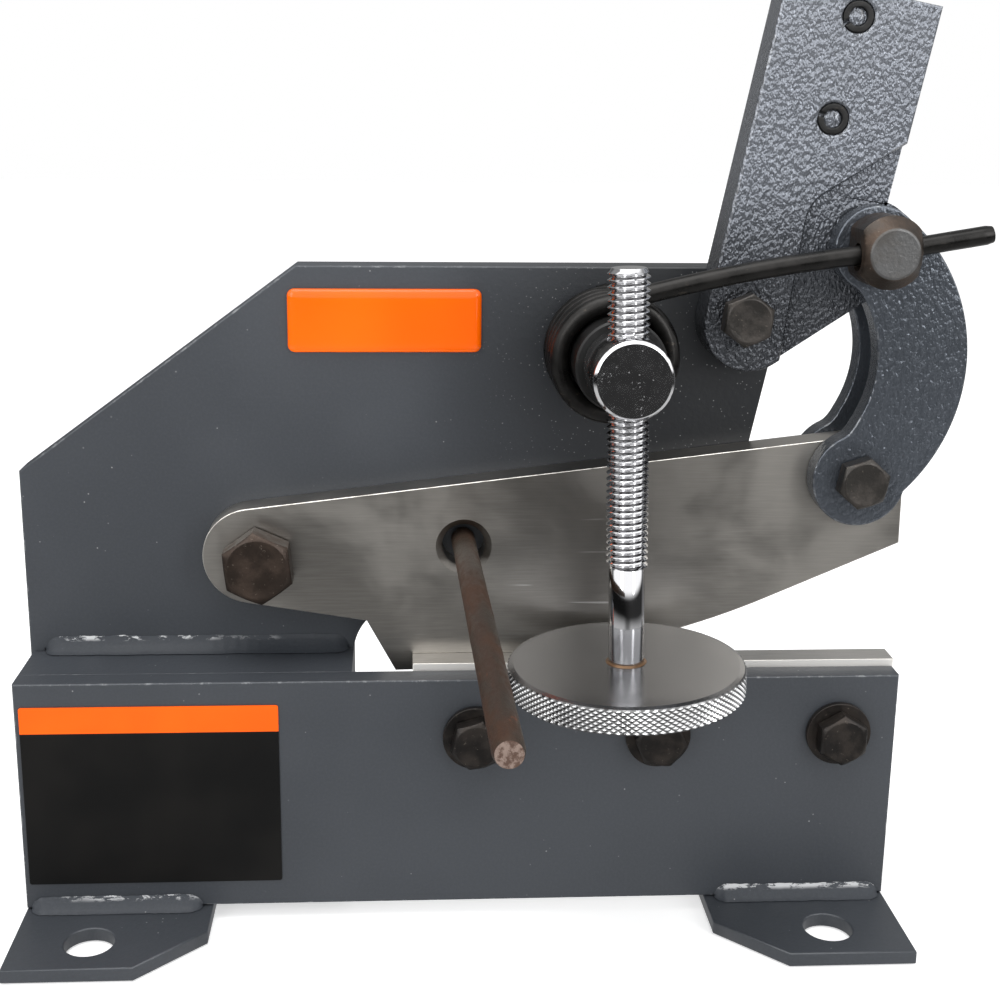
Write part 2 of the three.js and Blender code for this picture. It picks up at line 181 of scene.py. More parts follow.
def mark_edges(piece):
    """Stores 1 on the bevels of a plate that lies in x and z, for wear."""
    layer = piece.data.attributes.new("edge", "FLOAT", "FACE")
    for polygon in piece.data.polygons:
        slanted = max(abs(c) for c in polygon.normal) < 0.985 and abs(polygon.normal.y) > 0.1
        layer.data[polygon.index].value = float(slanted)
    return piece


def plate(name, outline, y0, y1, holes=(), bevel=0.5, lying=False):
    """An outline in x and z made into a plate from y0 to y1, with round-edged holes; lying, it is in x and y."""
    curve = bpy.data.curves.new(name, "CURVE")
    curve.dimensions = "2D"
    curve.fill_mode = "BOTH"
    curve.extrude = ((y1 - y0) / 2 - bevel) * MM
    curve.bevel_depth = bevel * MM
    curve.bevel_resolution = 1
    curve.offset = -bevel * MM
    for loop in [outline, *holes]:
        spline = curve.splines.new("POLY")
        spline.points.add(len(loop) - 1)
        for point, (x, z) in zip(spline.points, loop):
            point.co = (x * MM, z * MM, 0, 1)
        spline.use_cyclic_u = True
    holder = linked(name, curve)
    mesh = bpy.data.meshes.new_from_object(holder.evaluated_get(bpy.context.evaluated_depsgraph_get()))
    bpy.data.objects.remove(holder)
    bpy.data.curves.remove(curve)
    middle = (y0 + y1) / 2 * MM
    if not lying:
        mesh.transform(Matrix.Rotation(math.pi / 2, 4, "X"))
    mesh.transform(Matrix.Translation((0, 0, middle) if lying else (0, middle, 0)))
    mesh.materials.clear()
    return weighted(mark_edges(finish_mesh(name, mesh, 50)))


def arc(centre, radius, start, end, steps=32):
    """Points on an arc, in degrees from +x towards +z."""
    angles = [math.radians(start + (end - start) * i / steps) for i in range(steps + 1)]
    return [(centre[0] + radius * math.cos(a), centre[1] + radius * math.sin(a)) for a in angles]


def circle(centre, radius, steps=48):
    return arc(centre, radius, 0, 360 * (steps - 1) / steps, steps - 1)


def curve_through(start, control, end, steps=24):
    """Points on a quadratic curve, without its start."""
    weights = [((1 - t) ** 2, 2 * t * (1 - t), t * t) for t in [i / steps for i in range(1, steps + 1)]]
    return [tuple(u * a + v * b + w * c for a, b, c in zip(start, control, end)) for u, v, w in weights]


def rectangle(low, high, lowered=0.0):
    top = high.z - lowered
    return [(low.x, low.z), (high.x, low.z), (high.x, top), (low.x, top)]


def rounded_box(x0, x1, z0, z1, radius, steps=8):
    corners = [((x1 - radius, z1 - radius), 0), ((x0 + radius, z1 - radius), 90),
               ((x0 + radius, z0 + radius), 180), ((x1 - radius, z0 + radius), 270)]
    return [p for centre, start in corners for p in arc(centre, radius, start, start + 90, steps)]


def band(first, second, count):
    """The faces between two loops, each given by the index of its first point."""
    return [(first + i, first + (i + 1) % count, second + (i + 1) % count, second + i) for i in range(count)]


def skin(name, loops, ends=(None, None), closed=False, sharp=32):
    """Joins equal loops of points into one surface; an end is a point that closes its loop."""
    count = len(loops[0])
    points = [p for loop in loops for p in loop]
    faces = []
    for i in range(len(loops) if closed else len(loops) - 1):
        faces += band(i * count, (i + 1) % len(loops) * count, count)
    for end, first in zip(ends, (0, len(points) - count)):
        if end is not None:
            points.append(end)
            faces += [(first + j, first + (j + 1) % count, len(points) - 1) for j in range(count)]
    return from_points(name, points, faces, sharp)


def prism(name, outline, y0, y1, chamfer=None):
    """A cutting tool. A chamfer is a y, and how far the outline is moved along x and z in front of it."""
    count = len(outline)
    levels = [(y0, 0, 0), (y1, 0, 0)]
    if chamfer:
        y, across, up = chamfer
        levels = [(y0, across, up), (y - 1.2, across, up), (y, 0, 0), (y1, 0, 0)]
    points = [(x + across, y, z + up) for y, across, up in levels for x, z in outline]
    faces = []
    for k in range(len(levels) - 1):
        faces += band(k * count, (k + 1) * count, count)
    last = (len(levels) - 1) * count
    faces += [tuple(range(count)), tuple(range(last, last + count))]
    return from_points(name, points, faces)


def value_at(value, angle):
    return value(angle) if callable(value) else value


def around_y(centre, rings, count=72, turn=0.0):
    """Loops about a y axis. A ring is a radius and a y, and either may be a function of the angle."""
    angles = [turn + TAU * i / count for i in range(count)]
    return [[(centre[0] + value_at(radius, a) * math.sin(a), value_at(y, a),
              centre[1] + value_at(radius, a) * math.cos(a)) for a in angles] for radius, y in rings]


def turned(name, centre, rings, count=72, turn=0.0, closed=False, sharp=32):
    """A turned piece about a y axis, closed on the axis at both ends unless it is a ring."""
    ends = (None, None)
    if not closed:
        ends = tuple((centre[0], value_at(y, 0), centre[1]) for y in (rings[0][1], rings[-1][1]))
    return skin(name, around_y(centre, rings, count, turn), ends, closed, sharp)


def triangulate(piece):
    with edited(piece.data) as work:
        bmesh.ops.triangulate(work, faces=work.faces)


def cut(piece, *tools):
    """Takes the tools away from a piece, and removes them."""
    triangulate(piece)
    for tool in tools:
        triangulate(tool)
        modifier = piece.modifiers.new("cut", "BOOLEAN")
        modifier.operation = "DIFFERENCE"
        modifier.solver = "MANIFOLD"
        modifier.object = tool
    mesh = bpy.data.meshes.new_from_object(piece.evaluated_get(bpy.context.evaluated_depsgraph_get()))
    piece.modifiers.clear()
    piece.data = mesh
    for tool in tools:
        bpy.data.objects.remove(tool)
    mesh.shade_smooth()
    mesh.set_sharp_from_angle(angle=math.radians(32))
    for polygon in mesh.polygons:
        polygon.use_smooth = abs(polygon.normal.y) < 0.999
    return weighted(piece)


def own(piece, body, slot, look, *nodes):
    """Gives a piece its material and body, and hides the CAD nodes it stands for; slot is not used."""
    piece.data.materials.clear()
    piece.data.materials.append(LOOKS[look])
    if nodes:
        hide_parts(*nodes)
    if body:
        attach(piece, body)
    return piece


# ---- material helpers
class Nodes:
    """Short ways to fill a node tree."""

    def __init__(self, owner):
        owner.use_nodes = True
        self.tree = owner.node_tree
        self.tree.nodes.clear()

    def add(self, kind, settings=(), **inputs):
        node = self.tree.nodes.new("ShaderNode" + kind)
        for key, value in dict(settings).items():
            setattr(node, key, value)
        for key, value in inputs.items():
            self.feed(node.inputs[key.replace("_", " ")], value)
        return node

    def feed(self, socket, value):
        if isinstance(value, bpy.types.NodeSocket):
            self.tree.links.new(value, socket)
        else:
            socket.default_value = value

    def between(self, value, low, high, to_low=0.0, to_high=1.0):
        return self.add("MapRange", {"interpolation_type": "SMOOTHSTEP"}, Value=value, From_Min=low, From_Max=high,
                        To_Min=to_low, To_Max=to_high).outputs[0]

    def math(self, operation, a, b=0.0):
        node = self.add("Math", {"operation": operation})
        self.feed(node.inputs[0], a)
        self.feed(node.inputs[1], b)
        return node.outputs[0]

    def times(self, a, b):
        return self.math("MULTIPLY", a, b)


class Look(Nodes):
    """A node material: a Principled shader, fed from object coordinates."""

    def __init__(self, name, **sockets):
        self.material = bpy.data.materials.new(name)
        super().__init__(self.material)
        self.shader = self.add("BsdfPrincipled")
        output = self.add("OutputMaterial")
        self.tree.links.new(self.shader.outputs[0], output.inputs["Surface"])
        self.where = self.add("TexCoord").outputs["Object"]
        self.set(**sockets)

    def set(self, **sockets):
        for key, value in sockets.items():
            if key.endswith("Color") and not isinstance(value, bpy.types.NodeSocket):
                value = (*value, 1)
            self.feed(self.shader.inputs[key.replace("_", " ")], value)

    def at(self, stretch=(1, 1, 1), turn=(0, 0, 0), move=(0, 0, 0)):
        return self.add("Mapping", Vector=self.where, Scale=stretch, Rotation=turn, Location=move).outputs[0]

    def noise(self, scale, detail=2.0, roughness=0.5, distortion=0.0, at=None):
        node = self.add("TexNoise", Vector=at or self.where, Scale=scale, Detail=detail,
                        Roughness=roughness, Distortion=distortion)
        return node.outputs["Fac"]

    def dots(self, scale, low, high):
        """Round spots, one at most in each cell."""
        cells = self.add("TexVoronoi", {"feature": "F1"}, Vector=self.where, Scale=scale, Randomness=1.0)
        return self.between(cells.outputs["Distance"], low, high, 1.0, 0.0)

    def mix(self, factor, a, b):
        node = self.add("Mix", {"data_type": "RGBA"})
        self.feed(node.inputs[0], factor)
        for socket, value in ((node.inputs[6], a), (node.inputs[7], b)):
            self.feed(socket, value if isinstance(value, bpy.types.NodeSocket) else (*value, 1))
        return node.outputs[2]

    def bump(self, height, distance, strength=1.0):
        return self.add("Bump", Height=height, Distance=distance, Strength=strength).outputs[0]

    def edge(self):
        return self.add("Attribute", {"attribute_name": "edge"}).outputs["Fac"]

    def position(self, axis):
        return self.add("SeparateXYZ", Vector=self.where).outputs[axis]

    def facing(self, axis):
        """How far a face looks along an axis, without any bump."""
        normal = self.add("NewGeometry").outputs["True Normal"]
        return self.add("SeparateXYZ", Vector=normal).outputs[axis]


def tint(colour, factor):
    return [c * factor for c in colour]


def paint_look(name, base, specks=0.0, scuffed=0.0, toe_top=0.0, hammered=0.0, painted_dark_reflection_z=None, painted_shade_and_swarf_centre=None):
    """Enamel with chipped edges and dust specks, smooth unless it is hammered.

    scuffed bares the upper toe of a weld that ends at toe_top. greasy is the range of z across which a hammered
    skin fades from a painted dark reflection below, with a thinner coat, to its own colour above. grimy is the
    middle of a painted shade patch with real swarf specks in it.
    """
    look = Look(name, Metallic=0.0, Specular_IOR_Level=0.18 if scuffed else 0.5)
    cloud = look.between(look.noise(9, 3), 0.3, 0.7)
    colour = look.mix(cloud, tint(base, 0.93), tint(base, 1.08))
    grain = look.between(look.noise(900, 2), 0.35, 0.75)
    colour = look.mix(look.times(grain, 0.18), colour, tint(base, 1.7))
    chips = look.times(look.edge(), look.between(look.noise(170, 4, 0.7), 0.5, 0.66))
    colour = look.mix(look.times(chips, 0.5), colour, (0.3, 0.31, 0.32))
    if specks:
        dots = look.dots(260, 0.05, 0.11)
        rare = look.between(look.noise(70, 2), 0.56, 0.66)
        colour = look.mix(look.times(look.times(dots, rare), specks), colour, (0.5, 0.5, 0.5))
    if scuffed:
        streak = look.noise(330, 6, 0.75, at=look.at((0.35, 1, 1)))
        patch = look.noise(45, 2, at=look.at((0.5, 1, 1)))
        patch = look.between(patch, 0.62 - 0.2 * scuffed, 0.78 - 0.2 * scuffed)
        upper = look.between(look.position("Z"), (toe_top - 3) * MM, (toe_top - 1.5) * MM)
        bare = look.between(streak, 0.58 - 0.055 * scuffed, 0.64 - 0.055 * scuffed)
        mask = look.times(look.times(bare, patch), upper)
        colour = look.mix(look.times(mask, 0.9), colour, (0.62, 0.63, 0.64))
    # Painted shade: a dark patch around a point, where the spring and lever shade the back plate; the grit
    # scattered in it is real swarf.
    if painted_shade_and_swarf_centre:
        away = look.add("VectorMath", {"operation": "DISTANCE"}, Vector=look.where)
        away.inputs[1].default_value = [c * MM for c in painted_shade_and_swarf_centre]
        blend_mask = look.between(away.outputs["Value"], 0.03, 0.12)
        colour = look.mix(blend_mask, tint(base, 0.3), colour)
        grit = look.times(look.dots(560, 0.08, 0.17), look.between(look.noise(110, 3), 0.45, 0.56))
        grit = look.times(grit, look.between(blend_mask, 0.0, 0.9, 0.6, 0.0))
        colour = look.mix(grit, colour, (0.4, 0.4, 0.4))
    look.set(Base_Color=colour)
    if hammered:
        # Painted dark reflection: the hammered skin is darkened towards the lever's foot, below a range of z, and
        # its coat is thinner there.
        if painted_dark_reflection_z:
            blend_mask = look.between(look.position("Z"), painted_dark_reflection_z[0] * MM, painted_dark_reflection_z[1] * MM)
            colour = look.mix(blend_mask, tint(base, 0.3), colour)
            look.set(Base_Color=colour, Coat_Weight=look.between(blend_mask, 0, 1, 0.2, 0.5))
        ripple = look.noise(640, 1.5, 0.45, 0.15, at=look.at((1.15, 1, 0.75), (0, 0.35, 0)))
        look.set(Normal=look.bump(ripple, 0.0015 * hammered), Metallic=0.55, Coat_Roughness=0.08,
                 Roughness=look.between(ripple, 0.3, 0.7, 0.17, 0.26))
    else:
        peel = look.noise(420, 2)
        look.set(Normal=look.bump(peel, 0.00025, 0.35),
                 Roughness=look.between(cloud, 0, 1, 0.36, 0.46))
    return look.material


def steel_look(name, base, direction, roughness, front=None, painted_shade_x=None):
    """Ground steel: brush lines along one direction, fine scratches, smudges and a bright worn edge.

    front is the colour of a bright front face, and oiled the x about which a dark band is painted, the painted
    shadow and reflection of the hold-down disc and spring boss on the blade.
    """
    look = Look(name, Metallic=1.0)
    lines = look.noise(1400, 3, 0.6, at=look.at(direction))
    smudge = look.between(look.noise(16, 4, 0.6, 0.4), 0.35, 0.68)
    colour = look.mix(smudge, tint(base, 0.86), tint(base, 1.07))
    colour = look.mix(look.between(lines, 0.35, 0.7, 0.0, 0.3), colour, tint(base, 1.35))
    # Painted shadow and reflection: a dark band about an x, where the hold-down disc and spring boss shade the
    # blade and are mirrored in it.
    if painted_shade_x is not None:
        sideways = look.math("ABSOLUTE", look.math("SUBTRACT", look.position("X"), painted_shade_x * MM))
        painted_shade_distance = look.math("ADD", sideways, look.times(look.noise(22, 3), 0.05))
        blend_mask = look.between(painted_shade_distance, 0.03, 0.085, 0.75, 0.0)
        colour = look.mix(blend_mask, colour, tint(base, 0.42))
    if front:
        strip = look.between(look.times(look.facing("Y"), -1.0), 0.7, 0.9)
        colour = look.mix(strip, colour, front)
        look.set(Metallic=look.between(strip, 0, 1, 1.0, 0.3))
    fine = []
    for turn, shift in ((0.5, 0.0), (-0.9, 3.1), (1.35, 7.7)):
        streaks = look.noise(260, 1, 0.4, at=look.at((0.07, 1, 1.6), (0, turn, 0), (shift, 0, shift)))
        patches = look.between(look.noise(38, 1, at=look.at(move=(shift, shift, 0))), 0.58, 0.66)
        fine.append(look.times(look.between(streaks, 0.72, 0.76), patches))
    marks = look.math("MAXIMUM", look.math("MAXIMUM", fine[0], fine[1]), fine[2])
    colour = look.mix(look.times(marks, 0.5), colour, (0.8, 0.79, 0.77))
    edge = look.times(look.edge(), look.between(look.noise(220, 3), 0.3, 0.55))
    colour = look.mix(look.times(edge, 0.8), colour, (0.75, 0.73, 0.68))
    look.set(Base_Color=colour, Roughness=look.between(smudge, 0, 1, *roughness), Anisotropic=0.35,
             Normal=look.bump(look.math("ADD", lines, look.times(marks, -0.6)), 0.00006, 0.5))
    return look.material


def oxide_look(name, base, brown, dust=0.0, face=None):
    """Black oxide with brown bloom and rubbed spots. face is a y, and it is rubbed bare in front of that."""
    look = Look(name, Metallic=0.65, Specular_IOR_Level=0.4)
    bloom = look.between(look.noise(95, 4, 0.6), 0.38, 0.68)
    colour = look.mix(bloom, base, brown)
    spots = look.between(look.noise(620, 4, 0.75), 0.63, 0.72)
    colour = look.mix(look.times(spots, 0.35 + dust), colour, (0.34, 0.29, 0.24))
    if face is not None:
        bare = look.between(look.position("Y"), (face - 0.3) * MM, (face + 0.1) * MM, 1.0, 0.0)
        colour = look.mix(bare, colour, look.mix(bloom, (0.12, 0.12, 0.12), (0.078, 0.074, 0.07)))
    look.set(Base_Color=colour, Roughness=look.between(bloom, 0, 1, 0.34, 0.52),
             Normal=look.bump(look.noise(700, 4, 0.6), 0.0003, 0.45))
    return look.material


def chrome_look(name, base, roughness, groove=0.0, dusty=0.0):
    """Bright plating with tiny pits; the disc's faces keep their turning grooves."""
    look = Look(name, Metallic=1.0)
    dirt = look.times(look.dots(420, 0.05, 0.12), look.between(look.noise(60, 2), 0.48, 0.66))
    colour = look.mix(look.times(dirt, 0.35), base, tint(base, 0.45))
    look.set(Base_Color=colour, Roughness=look.between(look.noise(30, 3), 0.3, 0.7, *roughness),
             Normal=look.bump(look.noise(260, 2), 0.00002, 0.25))
    if dusty:
        haze = look.between(look.noise(170, 6, 0.85), 0.4, 0.8, 0.0, 0.12)
        grit = look.times(look.dots(700, 0.12, 0.26), look.between(look.noise(130, 2), 0.46, 0.58))
        dust = look.times(look.math("MAXIMUM", haze, grit), dusty)
        look.set(Metallic=look.math("SUBTRACT", 1.0, dust),
                 Base_Color=look.mix(dust, colour, (0.3, 0.31, 0.32)))
    if groove:
        x = SPRING_AXIS[0] + math.sin(HOLD_DOWN_TILT) * -DISC_TOP
        at = look.add("Mapping", Vector=look.where, Location=(-x * MM, -SCREW_Y * MM, 0)).outputs[0]
        rings = look.add("TexWave", {"wave_type": "RINGS", "rings_direction": "Z"}, Vector=at, Scale=groove,
                         Distortion=0.6, Detail=2.0)
        around = look.add("Tangent", {"direction_type": "RADIAL", "axis": "Z"}).outputs[0]
        look.set(Anisotropic=0.75, Tangent=around, Normal=look.bump(rings.outputs["Fac"], 0.00004, 0.35))
        # Painted light on the knurl: its faces are coloured far brighter than the disc's flat faces, a painted
        # highlight, and its valleys darker, painted shade.
        flat = look.add("VectorMath", {"operation": "MULTIPLY"}, Vector=at)
        flat.inputs[1].default_value = (1, 1, 0)
        from_axis = look.add("VectorMath", {"operation": "LENGTH"}, Vector=flat.outputs[0]).outputs["Value"]
        painted_groove_shade = look.between(from_axis, (DISC_RADIUS - 0.62) * MM, (DISC_RADIUS - 0.25) * MM, 1.0, 0.0)
        knurl = look.between(look.math("ABSOLUTE", look.facing("Z")), 0.7, 0.8, 1.0, 0.0)
        bright = look.mix(knurl, colour, (0.68, 0.68, 0.69))
        look.set(Base_Color=look.mix(look.times(painted_groove_shade, knurl), bright, (0.13, 0.13, 0.13)))
    return look.material


def rusty_look(name):
    """Hot-rolled bar: grey-brown scale with rust patches along it, and a paler sawn end."""
    look = Look(name, Metallic=0.2, Specular_IOR_Level=0.25)
    along = look.at((1, 0.35, 1))
    patches = look.between(look.noise(60, 5, 0.65, at=along), 0.4, 0.64)
    colour = look.mix(patches, (0.038, 0.029, 0.022), (0.054, 0.026, 0.015))
    bright = look.between(look.noise(90, 4, 0.7, at=look.at((1, 0.4, 1), move=(2, 1, 0))), 0.66, 0.74)
    colour = look.mix(look.times(bright, 0.7), colour, (0.3, 0.075, 0.022))
    dark = look.between(look.noise(240, 5, 0.7, at=along), 0.52, 0.7)
    colour = look.mix(look.times(dark, 0.55), colour, (0.024, 0.019, 0.016))
    height = look.noise(520, 5, 0.7, at=along)
    sawn = look.between(look.times(look.facing("Y"), -1.0), 0.8, 0.95)
    pale = look.mix(look.between(height, 0.42, 0.6), (0.1, 0.06, 0.045), (0.25, 0.185, 0.155))
    look.set(Base_Color=look.mix(sawn, colour, pale), Roughness=look.between(patches, 0, 1, 0.42, 0.68),
             Normal=look.bump(height, 0.0007, 0.6))
    return look.material


def sticker_look(name, split):
    """Printed vinyl: an orange band above a black panel, with a light satin texture."""
    look = Look(name, Specular_IOR_Level=0.12)
    height = look.position("Z")
    band = look.between(height, split * MM - 0.00015, split * MM + 0.00015)
    blend_mask = look.between(look.noise(25, 2), 0.3, 0.7)
    black = look.mix(blend_mask, (0.006, 0.006, 0.006), (0.009, 0.0085, 0.008))
    orange = look.mix(blend_mask, (0.95, 0.105, 0.003), (1.0, 0.125, 0.004))
    look.set(Base_Color=look.mix(band, black, orange), Roughness=look.between(blend_mask, 0, 1, 0.36, 0.44),
             Normal=look.bump(look.noise(500, 2), 0.00008, 0.3))
    return look.material


def badge_look(name):
    """Orange under a clear dome."""
    look = Look(name, Specular_IOR_Level=0.15, Coat_Weight=0.5, Coat_Roughness=0.05, Coat_IOR=1.4)
    shade = look.between(look.noise(12, 2), 0.3, 0.7)
    look.set(Base_Color=look.mix(shade, (0.9, 0.115, 0.0), (1.0, 0.15, 0.0)),
             Roughness=look.between(shade, 0, 1, 0.2, 0.27), Normal=look.bump(look.noise(90, 1), 0.00008, 0.2))
    return look.material


def dark_look(name, base, roughness, metallic, streaked=True):
    """Oiled spring steel or rubber."""
    look = Look(name, Metallic=metallic, Specular_IOR_Level=0.5)
    oil = look.between(look.noise(70, 4, 0.6), 0.36, 0.66)
    colour = look.mix(oil, base, tint(base, 2.1))
    if streaked:
        rub = look.between(look.noise(330, 5, 0.75, at=look.at((0.3, 1, 1))), 0.6, 0.74)
        colour = look.mix(look.times(rub, 0.4), colour, (0.16, 0.13, 0.1))
    look.set(Base_Color=colour, Roughness=look.between(oil, 0, 1, *roughness),
             Normal=look.bump(look.noise(800, 3), 0.00012, 0.3))
    return look.material


PAINT = (0.041, 0.046, 0.054)
HAMMER = (0.13, 0.14, 0.16)
LOOKS = {
    "paint": paint_look("frame_enamel", PAINT, specks=0.5),
    # the back plate's enamel has a painted shade patch right of the hold-down, with real swarf specks in it
    "back": paint_look("back_enamel", PAINT, specks=0.5,
                       painted_shade_and_swarf_centre=(SPRING_AXIS[0] + 32, depth("back_plate")[0], SPRING_AXIS[1] - 6)),
    # the lever's enamel is painted darker towards its foot, a painted dark reflection
    "hammer": paint_look("hammered_enamel", tint(HAMMER, 1.15), hammered=1.0, painted_dark_reflection_z=(255, 320)),
    "link": paint_look("link_enamel", tint(PAINT, 1.95), hammered=0.25),
    # the blade carries a painted shadow and reflection band under the hold-down disc
    "blade": steel_look("ground_blade", (0.4, 0.381, 0.353), (0.04, 1, 1), (0.3, 0.42), painted_shade_x=SPRING_AXIS[0]),
    "lower": steel_look("ground_edge", (0.47, 0.457, 0.437), (0.05, 0.6, 1), (0.32, 0.45),
                        front=(0.84, 0.82, 0.79)),
    "oxide": oxide_look("black_oxide", (0.018, 0.016, 0.015), (0.034, 0.028, 0.024)),
    "brown": oxide_look("brown_oxide", (0.032, 0.023, 0.018), (0.047, 0.032, 0.024), 0.1),
    "worn": oxide_look("worn_oxide", (0.038, 0.035, 0.032), (0.064, 0.056, 0.05), 0.15),
    "pin": oxide_look("rubbed_pin", (0.034, 0.027, 0.022), (0.066, 0.046, 0.034), 0.15,
                      face=depth("spring_pin")[0] + 0.5),
    "spring": dark_look("oiled_spring", (0.009, 0.0085, 0.008), (0.26, 0.4), 0.75),
    "boss": dark_look("boss_steel", (0.005, 0.005, 0.005), (0.4, 0.5), 0.4),
    "bar": dark_look("handle_steel", (0.02, 0.02, 0.022), (0.4, 0.52), 0.3),
    "rubber": dark_look("grip_rubber", (0.012, 0.012, 0.012), (0.62, 0.75), 0.0, streaked=False),
    "chrome": chrome_look("plated_chrome", (0.5, 0.5, 0.51), (0.05, 0.1)),
    "head": chrome_look("dusty_chrome", (0.62, 0.62, 0.63), (0.08, 0.12), dusty=0.3),
    "disc": chrome_look("turned_chrome", (0.22, 0.222, 0.23), (0.12, 0.18), groove=900),
    "rust": rusty_look("rusty_bar"),
    "stain": oxide_look("rust_stain", (0.11, 0.065, 0.035), (0.2, 0.11, 0.055)),
    "badge": badge_look("badge_dome"),
    "sticker": sticker_look("sticker_vinyl", 85.2),
}
# The column weld's enamel is tinted to 0.85, painted shade in the cove between the back plate and the spacer; the
# scuffs are real wear.
for weld, enamel, base, scuffed in (("weld_column", "weld_enamel_painted_shade", tint(PAINT, 0.85), 0.95),
                                    ("weld_foot_left", "left_toe_enamel", PAINT, 1.2),
                                    ("weld_foot_right", "right_toe_enamel", PAINT, 2.4)):
    LOOKS[weld] = paint_look(enamel, base, specks=0.4, scuffed=scuffed, toe_top=cad(weld)[1].z)


# ---- frame
def make_foot(node, side):
    low, high = cad(node)
    outer, inner = (low.x, high.x) if side < 0 else (high.x, low.x)
    cut_x, cut_y = side * FOOT_CHAMFER[0], FOOT_CHAMFER[1]
    outline = [(outer, low.y), (inner + cut_x, low.y), (inner, low.y + cut_y),
               (inner, high.y - cut_y), (inner + cut_x, high.y), (outer, high.y)]
    hole_x = outer - side * FOOT_HOLE["inset"]
    reach = FOOT_HOLE["reach"]
    rear = high.y - (FRAME_LOW.y - low.y)
    holes = [circle((hole_x, y), FOOT_HOLE["radius"]) for y in (-reach, rear + reach)]
    piece = plate("visual_" + node, outline, low.z, high.z, holes, 0.7, lying=True)
    piece.data.attributes.remove(piece.data.attributes["edge"])
    own(piece, "frame", "frame_paint", "paint", node)


def make_frame():
    make_foot("foot_left", -1)
    make_foot("foot_right", 1)
    low, high = cad("front_plate")
    front = plate("visual_front_plate", rectangle(low, high), low.y, high.y, bevel=0.7)
    own(front, "frame", "frame_paint", "paint", "front_plate")
    low, high = cad("spacer_block")
    spacer = plate("visual_spacer", rectangle(low, high, 0.05), low.y - 0.8, high.y, bevel=0.3)
    own(spacer, "frame", "frame_paint", "paint", "spacer_block")

    low, high = cad("back_plate")
    throat = (COLUMN_RIGHT + THROAT_RADIUS, FRAME_HIGH.z - 2.5)
    outline = [(low.x, low.z), (COLUMN_RIGHT, low.z)]
    outline += arc(throat, THROAT_RADIUS, 180, 90, 20)
    outline += [(256, 146), (273.3, 233)]
    outline += arc((258, 251.5), 20, -11.46, 90, 20)
    outline += [(76, high.z), (low.x, 185.8)]
    holes = [circle(centre, radius + GAP) for centre, radius in (
        (BLADE_PIVOT, M18["radius"]), (LEVER_PIVOT, M12["radius"]), (SPRING_AXIS, BOSS_SPIGOT))]
    back = plate("visual_back_plate", outline, low.y, high.y, holes, 0.8)
    own(back, "frame", "frame_paint", "back", "back_plate")


def make_weld(node, leg, seed):
    """A fillet along x: a hollow face, a ripple for each pass, an uneven toe, and rounded ends."""
    hollowness = 0.8    # 1 is flat, and less is hollow
    quarter = 1.5707    # just short of a quarter turn, where the cosine is still positive
    low, high = cad(node)
    steps = int((high.x - low.x) / 1.1)
    arc_steps = 13
    loops = []
    for i in range(steps + 1):
        x = low.x + (high.x - low.x) * i / steps
        end = min(1.0, math.sqrt(min(x - low.x, high.x - x) / 6) + 0.15)
        wander = 0.9 + 0.07 * noise.noise(Vector((x * 0.11, seed, 0)))
        ripple = 0.015 * math.sin(x * 1.35 + 2 * noise.noise(Vector((x * 0.07, seed + 4, 0))))
        reach = leg * end * (wander + ripple)
        loop = []
        for j in range(arc_steps):
            t = min(math.pi / 2 * j / (arc_steps - 1), quarter)
            bulge = 1.0 + 0.025 * noise.noise(Vector((x * 0.5, j * 0.8, seed)))
            hollow = (math.cos(t) ** hollowness + math.sin(t) ** hollowness) ** (-1 / hollowness)
            r = reach * bulge * hollow
            loop.append((x, high.y - r * math.cos(t), low.z + r * math.sin(t)))
        loop.append((x, high.y, low.z))
        loops.append(loop)
    middle = lambda x: (x, high.y - 0.3 * leg, low.z + 0.3 * leg)
    piece = skin("visual_" + node, loops, (middle(low.x), middle(high.x)), sharp=60)
    own(piece, "frame", "frame_paint", node, node)


def make_badge():
    low, high = cad("badge")
    loops = []
    for inset, height in ((0, 0), (0, 0.4), (0.2, 0.9), (0.6, 1.4), (1.2, 1.8), (2.0, 2.1), (3.0, 2.27),
                          (4.2, 2.35)):
        ring = rounded_box(low.x + inset, high.x - inset, low.z + inset, high.z - inset,
                           max(3 - inset * 0.6, 1.2))
        loops.append([(x, high.y - height, z) for x, z in ring])
    x, z = centre_of("badge")
    piece = skin("visual_badge", loops, ((x, high.y, z), (x, low.y, z)), sharp=60)
    own(piece, "frame", "badge_orange", "badge", "badge")


def make_sticker():
    low, high = cad("sticker")
    outline = rounded_box(low.x, high.x, low.z, high.z, 1, 4)
    piece = plate("visual_sticker", outline, low.y + 0.2, high.y + 0.25, bevel=0.08)
    own(piece, "frame", "sticker_vinyl", "sticker", "sticker")


# ---- fasteners
def hex_radius(flats, turn, inset=0.0):
    def radius(angle):
        local = (angle - turn) % (math.pi / 3) - math.pi / 6
        return flats / 2 / math.cos(local) - inset
    return radius


def hex_drop(flats, turn, start, y, away, inset=0.0):
    """The height of a chamfer that cuts a hexagon's corners, starting at radius start."""
    radius = hex_radius(flats, turn, inset)
    return lambda angle: y + away * max(0.0, radius(angle) - start) * 0.58


def thread_rings(radius, pitch, y0, y1):
    """Rings of a helical thread between y0 and y1, with its tips at the radius."""
    per_turn = 10
    count = max(2, int(abs(y1 - y0) / pitch * per_turn))
    rings = []
    for i in range(count + 1):
        y = y0 + (y1 - y0) * i / count

        def at(angle, y=y):
            phase = (y / pitch - angle / TAU) % 1.0
            return radius - 0.61 * pitch * min(1.0, max(0.0, abs(phase - 0.5) * 2.5 - 0.125))
        rings.append((at, y))
    return rings


